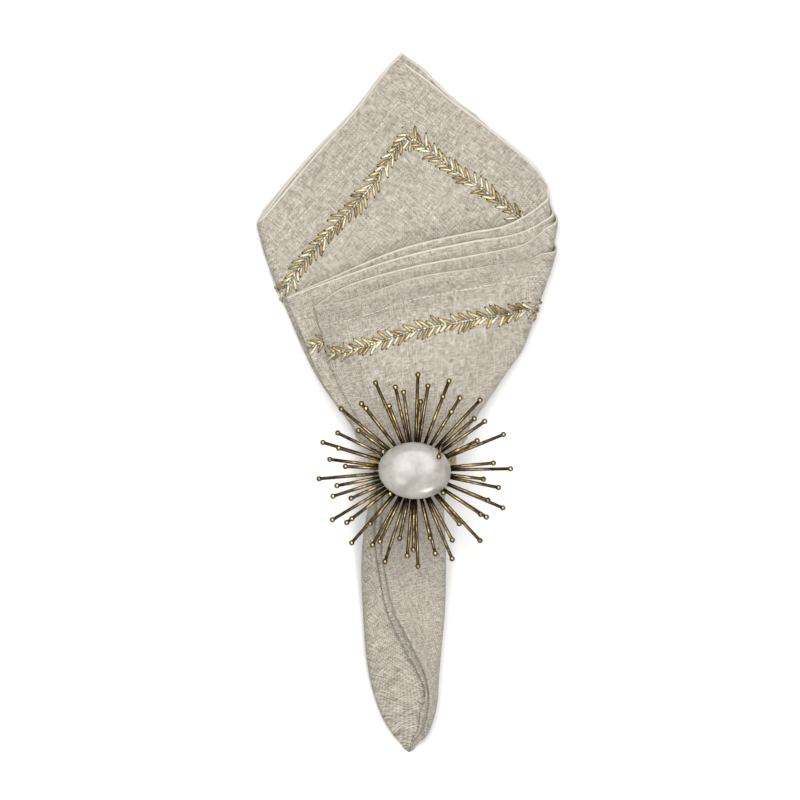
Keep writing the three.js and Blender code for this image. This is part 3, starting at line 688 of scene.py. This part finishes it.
def makeBeadBorder(materials):
    dice = random.Random(7)
    leaf = beadTemplate("leafShape", border["leafRadius"], border["leafLength"], 8)
    stem = beadTemplate("stemShape", border["stemRadius"], border["stemLength"], 8)
    seedMesh = bmesh.new()
    bmesh.ops.create_icosphere(seedMesh, subdivisions=1, radius=border["seedRadius"] * mm)
    seed = templateFrom(seedMesh, "seedShape")
    bm = bmesh.new()

    def put(template, x, y, turned, lift, size, tone, slot):
        place = placeOnCloth(x, y, turned, lift, size)
        if place.translation.z > border["leastHeight"] * mm:  # none goes on under the roll's side
            stamp(bm, template, place, tone, slot)

    for start, end in borderStretches:
        heading = math.atan2(end[1] - start[1], end[0] - start[0])
        length = math.dist(start, end)
        pairs = int(length / border["pitch"])
        for i in range(pairs):
            along = (i + 0.5) * length / pairs
            x = start[0] + along * math.cos(heading)
            y = start[1] + along * math.sin(heading)
            for half in (-0.25, 0.25):
                offset = half * border["pitch"]
                stemX = x + offset * math.cos(heading)
                stemY = y + offset * math.sin(heading)
                turned = heading + dice.uniform(-0.25, 0.25)
                tone = dice.uniform(0.1, 1)
                put(stem, stemX, stemY, turned, border["stemLift"], (1, 1, 1), tone, silverSlot)
            for side in (-1, 1):
                angle = heading + side * (border["leafAngle"] + dice.uniform(-0.24, 0.24))
                stretch = dice.uniform(0.8, 1.15)
                reach = border["rootGap"] + border["leafLength"] * stretch / 2 + dice.uniform(-0.3, 0.3)
                leafX = x + reach * math.cos(angle)
                leafY = y + reach * math.sin(angle)
                tone = dice.uniform(0, 1)
                put(leaf, leafX, leafY, angle, border["lift"], (1, stretch, 1), tone, goldSlot)
                tipReach = reach + border["leafLength"] * stretch / 2 + border["seedRadius"] * 0.6
                tipX = x + tipReach * math.cos(angle)
                tipY = y + tipReach * math.sin(angle)
                put(seed, tipX, tipY, angle, border["lift"] * 0.8, (1, 1, 1), 0.5, darkSlot)
            put(seed, x, y, heading, border["stemLift"] * 1.1, (0.8, 0.8, 0.8), 0.5, darkSlot)
    markTopLight(bm, border["rubbedFrom"], border["rubbedTo"])
    return pieceFrom(bm, "beadBorder", materials)


# Hem stitches: short stitches of cotton thread along the fold of the hem. Twisted cotton is matt, and
# paler than the linen, with darker grooves.
stitches = {
    "pitch": 2.9,
    "length": 2.2,
    "width": 0.38,
    "height": 0.34,
    "groove": 1.6667,  # across the thread's darker places, drawn coarser so that they show
    "dark": "#c6beae",
    "light": "#ebe6dc",
    "finish": {"Roughness": 0.7},
}
stitchStretches = [  # start and end, on the flat cloth, of each row that shows
    ((238.2, 128), (238.2, 238.2)),
    ((243, 238.2), (92, 238.2)),
    ((-238.2, 148), (-238.2, 2)),
    ((238.2, -16), (238.2, 0)),
]


def makeThread():
    material, tree, shader = newMaterial("cottonThread", stitches["finish"])
    place = addNode(tree, "ShaderNodeTexCoord")
    noise = addNode(tree, "ShaderNodeTexNoise", {"Scale": 1 / (stitches["groove"] * mm), "Detail": 2.0},
                    {"Vector": place.outputs["Object"]})
    colour = addNode(tree, "ShaderNodeValToRGB", links={0: noise.outputs[0]})
    setRamp(colour, [(0.3, stitches["dark"]), (0.7, stitches["light"])])
    tree.links.new(colour.outputs[0], shader.inputs["Base Color"])
    return material


def makeStitches(material):
    dice = random.Random(11)
    shape = bmesh.new()
    bmesh.ops.create_uvsphere(shape, u_segments=6, v_segments=4, radius=0.5)
    size = Vector((stitches["width"], stitches["height"], stitches["length"])) * mm
    bmesh.ops.scale(shape, verts=shape.verts, vec=size)
    bmesh.ops.rotate(shape, verts=shape.verts, matrix=Matrix.Rotation(math.pi / 2, 3, "X"))
    stitch = templateFrom(shape, "stitchShape")
    bm = bmesh.new()
    for start, end in stitchStretches:
        heading = math.atan2(end[1] - start[1], end[0] - start[0])
        length = math.dist(start, end)
        count = int(length / stitches["pitch"])
        for i in range(count):
            along = (i + 0.5) * length / count
            x = start[0] + along * math.cos(heading) + dice.uniform(-0.15, 0.15)
            y = start[1] + along * math.sin(heading) + dice.uniform(-0.15, 0.15)
            turned = heading + dice.uniform(-0.12, 0.12)
            stretched = (1, dice.uniform(0.7, 1.1), 1)
            lift = 0.3 + dice.uniform(-0.1, 0.06)
            stamp(bm, stitch, placeOnCloth(x, y, turned, lift, stretched))
    return pieceFrom(bm, "hemStitches", [material])


# Antique brass: drawn wire and strip, toned dark and then rubbed by hand. Its colour is painted dark
# brown on its sides and in the corners, as painted shade and dark reflection, and pale gold where it
# faces up, as a painted highlight; its tarnish patches are its own.
brass = {
    "grain": 2.4,  # across the patches of tarnish
    # painted shade and dark reflection on the brass's sides
    "sides": "#20150a",
    # colours where the brass faces up, in patches of tarnish: mid, and bright as a painted highlight
    "mid": "#674e2a",
    "bright": "#c8b07c",
    "rubbedFrom": 0.45,  # by how far a spot faces up
    "rubbedTo": 0.98,
    "dullest": 0.45,  # roughness
    "smoothest": 0.3,
    "finish": {"Metallic": 1.0},
}


def makeBrass():
    material, tree, shader = newMaterial("antiqueBrass", brass["finish"])
    place = addNode(tree, "ShaderNodeTexCoord")
    rubbed = addNode(tree, "ShaderNodeAttribute", attribute_name="rubbed", attribute_type="GEOMETRY")
    grain = {"Scale": 1 / (brass["grain"] * mm), "Detail": 4.0, "Roughness": 0.6}
    patches = addNode(tree, "ShaderNodeTexNoise", grain, {"Vector": place.outputs["Object"]})
    topPatches = addNode(tree, "ShaderNodeValToRGB", links={0: patches.outputs[0]})
    setRamp(topPatches, [(0.35, brass["mid"]), (0.6, brass["bright"])])
    # painted light: the tarnish patches where the brass faces up, painted shade and dark reflection on
    # its sides
    colour = addNode(tree, "ShaderNodeMix", {6: linear(brass["sides"])},
                     {0: rubbed.outputs["Fac"], 7: topPatches.outputs[0]}, data_type="RGBA")
    tree.links.new(colour.outputs[2], shader.inputs["Base Color"])
    ends = {"From Min": 0.3, "From Max": 0.7, "To Min": brass["dullest"], "To Max": brass["smoothest"]}
    rough = addNode(tree, "ShaderNodeMapRange", ends, {"Value": patches.outputs[0]})
    tree.links.new(rough.outputs[0], shader.inputs["Roughness"])
    return material


# Ring band: a strip of brass bent to a circle
band = {
    "x": 3.4, "y": -29.9, "centreHeight": 22.53,
    "radius": 22.53, "wall": 1.1, "width": 9.2, "crown": 0.25,
    # least share of the painted top light, so the band's sides are painted less dark
    "leastTopLight": 0.6,
}


def makeBand(material):
    half = band["width"] / 2
    inside = band["radius"] - band["wall"]
    shoulder = band["radius"] - band["crown"]
    onSide = [(inside, half - 0.25), (inside + 0.25, half), (shoulder - 0.3, half),
              (shoulder, half - 0.3), (band["radius"] - 0.08, half * 0.5)]
    otherSide = [(radius, -along) for radius, along in onSide]
    profile = [*otherSide, (band["radius"], 0), *onSide[::-1]]
    bm = bmesh.new()
    ring = [bm.verts.new((radius, along, 0)) for radius, along in profile]
    edges = [bm.edges.new((ring[i], ring[(i + 1) % len(ring)])) for i in range(len(ring))]
    bmesh.ops.spin(bm, geom=ring + edges, cent=(0, 0, 0), axis=(0, 1, 0), angle=2 * math.pi, steps=128,
                   use_merge=True)
    bmesh.ops.recalc_face_normals(bm, faces=bm.faces)
    bmesh.ops.translate(bm, verts=bm.verts, vec=(band["x"], band["y"], band["centreHeight"]))
    bmesh.ops.scale(bm, verts=bm.verts, vec=(mm, mm, mm))
    markTopLight(bm, brass["rubbedFrom"], brass["rubbedTo"], band["leastTopLight"])
    return pieceFrom(bm, "ringBand", [material])


# Setting: hub, oval plate and four ball-tipped prongs
setting = {
    "x": 4.4, "y": -33.8,
    "hubRadius": 11.0, "hubBottom": 45.36, "hubHeight": 9.5,
    "plateLength": 15.6, "plateWidth": 11.8, "plateThickness": 0.8,
    "stoneBottom": 55.96,
    "wireRadius": 0.65, "ballRadius": 1.3,
}
prongRows = [  # x, y and height over the stone's bottom of each prong's elbow, and of its ball
    (-17, 7.9, 1.2, -16, 9.6, 2.6),
    (-13.1, -12.4, 1.6, -12.4, -11.7, 4),
    (14.9, -11.6, 1.2, 14.5, -11.2, 2.6),
    (13.3, 13.5, 2.6, 12.2, 7.2, 7.4),
]


def addWire(bm, points, radius):  # a bent round wire as a mesh, through a curve
    data = bpy.data.curves.new("wire", "CURVE")
    data.dimensions = "3D"
    data.bevel_depth = radius
    data.bevel_resolution = 3
    data.use_fill_caps = True
    spline = data.splines.new("BEZIER")
    spline.bezier_points.add(len(points) - 1)
    for bezier, point in zip(spline.bezier_points, points):
        bezier.co = point
        bezier.handle_left_type = bezier.handle_right_type = "AUTO"
    wire = bpy.data.objects.new("wire", data)
    bpy.context.scene.collection.objects.link(wire)
    bpy.context.view_layer.update()
    mesh = wire.to_mesh()
    bm.from_mesh(mesh)
    wire.to_mesh_clear()
    bpy.data.objects.remove(wire)


def makeSetting(material):
    bm = bmesh.new()
    hubTop = setting["hubBottom"] + setting["hubHeight"]
    hub = bmesh.ops.create_cone(bm, cap_ends=True, segments=64, radius1=setting["hubRadius"],
                                radius2=setting["hubRadius"], depth=setting["hubHeight"])["verts"]
    bmesh.ops.translate(bm, verts=hub, vec=(0, 0, (setting["hubBottom"] + hubTop) / 2))
    plate = bmesh.ops.create_cone(bm, cap_ends=True, segments=64, radius1=1, radius2=1,
                                  depth=setting["plateThickness"])["verts"]
    bmesh.ops.scale(bm, verts=plate, vec=(setting["plateLength"], setting["plateWidth"], 1))
    bmesh.ops.translate(bm, verts=plate, vec=(0, 0, hubTop + setting["plateThickness"] / 2))
    rims = [edge for edge in bm.edges
            if edge.is_manifold and abs(edge.verts[0].co.z - edge.verts[1].co.z) < 1e-6]
    bmesh.ops.bevel(bm, geom=rims, offset=0.2, segments=2, profile=0.5, affect="EDGES", material=-1)
    level = hubTop + setting["plateThickness"] - setting["wireRadius"]
    for elbowX, elbowY, shoulder, x, y, height in prongRows:
        points = [(elbowX * 0.5, elbowY * 0.5, level), (elbowX * 0.9, elbowY * 0.9, level),
                  (elbowX, elbowY, setting["stoneBottom"] + shoulder),
                  (x, y, setting["stoneBottom"] + height)]
        addWire(bm, points, setting["wireRadius"])
        ball = bmesh.ops.create_uvsphere(bm, u_segments=20, v_segments=12,
                                         radius=setting["ballRadius"])["verts"]
        bmesh.ops.translate(bm, verts=ball, vec=points[-1])
    bmesh.ops.translate(bm, verts=bm.verts, vec=(setting["x"], setting["y"], 0))
    bmesh.ops.scale(bm, verts=bm.verts, vec=(mm, mm, mm))
    markTopLight(bm, brass["rubbedFrom"], brass["rubbedTo"])
    return pieceFrom(bm, "stoneSetting", [material])


# Stone: an oval cabochon of white stone, ground and polished. It is glossy, with cloudy grey veils.
stone = {
    "halfLength": 18.4, "halfWidth": 14.4, "girdle": 1.6, "crown": 5.6, "turn": math.radians(-4),
    "veil": 11.111,
    "swirl": 16.667,
    "colours": [(0.32, "#827d76"), (0.48, "#98938c"), (0.62, "#a7a39c")],
    "finish": {"Roughness": 0.24, "IOR": 1.55},
}


def makePearl():
    material, tree, shader = newMaterial("polishedWhiteStone", stone["finish"])
    place = addNode(tree, "ShaderNodeTexCoord")
    swirls = addNode(tree, "ShaderNodeTexNoise", {"Scale": 1 / (stone["swirl"] * mm), "Detail": 3.0},
                     {"Vector": place.outputs["Object"]})
    moved = addNode(tree, "ShaderNodeMix", {0: 0.03},
                    {4: place.outputs["Object"], 5: swirls.outputs["Color"]}, data_type="VECTOR")
    cloud = {"Scale": 1 / (stone["veil"] * mm), "Detail": 5.0, "Roughness": 0.55}
    veils = addNode(tree, "ShaderNodeTexNoise", cloud, {"Vector": moved.outputs[1]})
    colour = addNode(tree, "ShaderNodeValToRGB", links={0: veils.outputs[0]})
    setRamp(colour, stone["colours"])
    tree.links.new(colour.outputs[0], shader.inputs["Base Color"])
    return material


def makeStone(material):
    bm = bmesh.new()
    profile = [(0, 0), (0.9, 0), (0.93, 0.1), (0.985, 0.8)]
    steps = 14
    for i in range(steps + 1):
        turn = i / steps * math.pi / 2
        radius = max(math.cos(turn), 0) ** 0.8 if i < steps else 0
        profile.append((radius, stone["girdle"] + stone["crown"] * math.sin(turn)))
    line = [bm.verts.new((radius, 0, height)) for radius, height in profile]
    edges = [bm.edges.new(pair) for pair in zip(line, line[1:])]
    bmesh.ops.spin(bm, geom=line + edges, cent=(0, 0, 0), axis=(0, 0, 1), angle=2 * math.pi, steps=96,
                   use_merge=True)
    bmesh.ops.remove_doubles(bm, verts=bm.verts, dist=1e-5)
    bmesh.ops.recalc_face_normals(bm, faces=bm.faces)
    bmesh.ops.scale(bm, verts=bm.verts, vec=(stone["halfLength"], stone["halfWidth"], 1))
    bmesh.ops.rotate(bm, verts=bm.verts, matrix=Matrix.Rotation(stone["turn"], 3, "Z"))
    bmesh.ops.translate(bm, verts=bm.verts, vec=(setting["x"], setting["y"], setting["stoneBottom"]))
    bmesh.ops.scale(bm, verts=bm.verts, vec=(mm, mm, mm))
    return pieceFrom(bm, "stoneCabochon", [material])


# Rods: each lies where its solid lies, from the hub's wall to the ball
rod = {"radius": 0.85, "ballRadius": 1.4, "sides": 14}


def makeRods(material):
    bm = bmesh.new()
    hubAxis = Vector((setting["x"], setting["y"])) * mm
    names = sorted(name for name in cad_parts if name.startswith("rod_"))
    for name in names:
        places = [vertex.co.copy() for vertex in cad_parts[name].data.vertices]
        distances = [(place.xy - hubAxis).length for place in places]
        far = places[distances.index(max(distances))]
        nearest = min(distances) + 0.3 * mm
        near = [place for place, distance in zip(places, distances) if distance < nearest]
        root = sum(near, Vector()) / len(near)
        along = (far - root).normalized()
        end = far - along * rod["ballRadius"] * mm
        root = root - along * 0.6 * mm  # into the hub's wall
        turned = zUp.rotation_difference(along).to_matrix().to_4x4()
        length = (end - root).length
        bmesh.ops.create_cone(bm, cap_ends=True, segments=rod["sides"], radius1=rod["radius"] * mm,
                              radius2=rod["radius"] * mm, depth=length,
                              matrix=Matrix.Translation((root + end) / 2) @ turned)
        bmesh.ops.create_uvsphere(bm, u_segments=16, v_segments=10, radius=rod["ballRadius"] * mm,
                                  matrix=Matrix.Translation(end) @ turned)
    markTopLight(bm, brass["rubbedFrom"], brass["rubbedTo"])
    return pieceFrom(bm, "burstRods", [material]), names


# Floor and light
studio = {  # in metres
    "floorSize": 6.0,
    "floor": "#f7f6f4",
    "floorFinish": {"Roughness": 0.95},
    "world": 0.2,
    "target": (0, 0, 0.02),
    "lamps": [  # place, size, watts, and whether the burst throws a shadow from it
        ((0.0, 0.16, 0.65), 0.5, 5.2, True),
        ((0.65, -1.65, 1.6), 0.5, 20.5, False),
        ((-0.22, -0.3, 0.85), 0.18, 0.8, True),
    ],
}


def makeFloor():
    finish = {"Base Color": linear(studio["floor"]), **studio["floorFinish"]}
    material = newMaterial("paleFloor", finish)[0]
    bm = bmesh.new()
    bmesh.ops.create_grid(bm, x_segments=1, y_segments=1, size=studio["floorSize"] / 2)
    floor = pieceFrom(bm, "floor", [material])


def makeLights(blockerPieces):
    blockers = bpy.data.collections.new("shadeMakers")
    for piece in blockerPieces:
        blockers.objects.link(piece)
    world = bpy.data.worlds.new("studio")
    bpy.context.scene.world = world
    world.use_nodes = True
    background = world.node_tree.nodes["Background"]
    background.inputs["Color"].default_value = (1, 1, 1, 1)
    background.inputs["Strength"].default_value = studio["world"]
    for i, (place, size, power, burstShades) in enumerate(studio["lamps"]):
        data = bpy.data.lights.new(f"softbox{i + 1}", "AREA")
        data.size = size
        data.energy = power
        lamp = bpy.data.objects.new(f"softbox{i + 1}", data)
        lamp.location = place
        lamp.visible_camera = False
        aim = Vector(studio["target"]) - Vector(place)
        lamp.rotation_euler = aim.to_track_quat("-Z", "Y").to_euler()
        bpy.context.scene.collection.objects.link(lamp)
        if not burstShades:  # the rods are too thin and high to shade the cloth from this side
            lamp.light_linking.blocker_collection = blockers


def dress(piece, slot, *nodes):
    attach(piece, "root")
    if nodes:
        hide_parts(*nodes)


napkinPiece = makeNapkin(makeLinen())
dress(napkinPiece, "linen", "napkin")
print("napkin:", len(napkinPiece.data.polygons), "faces before thickness")

beads = makeBeadBorder([makeBeadGlass(name) for name in beadGlass])
dress(beads, "bead_gold")
print("bead border:", len(beads.data.polygons), "faces")

stitchPiece = makeStitches(makeThread())
dress(stitchPiece, "linen")
print("hem stitches:", len(stitchPiece.data.polygons), "faces")

brassMaterial = makeBrass()
dress(makeBand(brassMaterial), "antique_brass", "ring_band")
dress(makeSetting(brassMaterial), "antique_brass", "setting")
dress(makeStone(makePearl()), "pearl_stone", "stone")
rodPiece, rodNames = makeRods(brassMaterial)
dress(rodPiece, "antique_brass", *rodNames)
print("ring, setting, stone and", len(rodNames), "rods")

makeFloor()
makeLights([napkinPiece, beads, stitchPiece])
bpy.context.scene.view_settings.view_transform = "Standard"
print("floor and light")
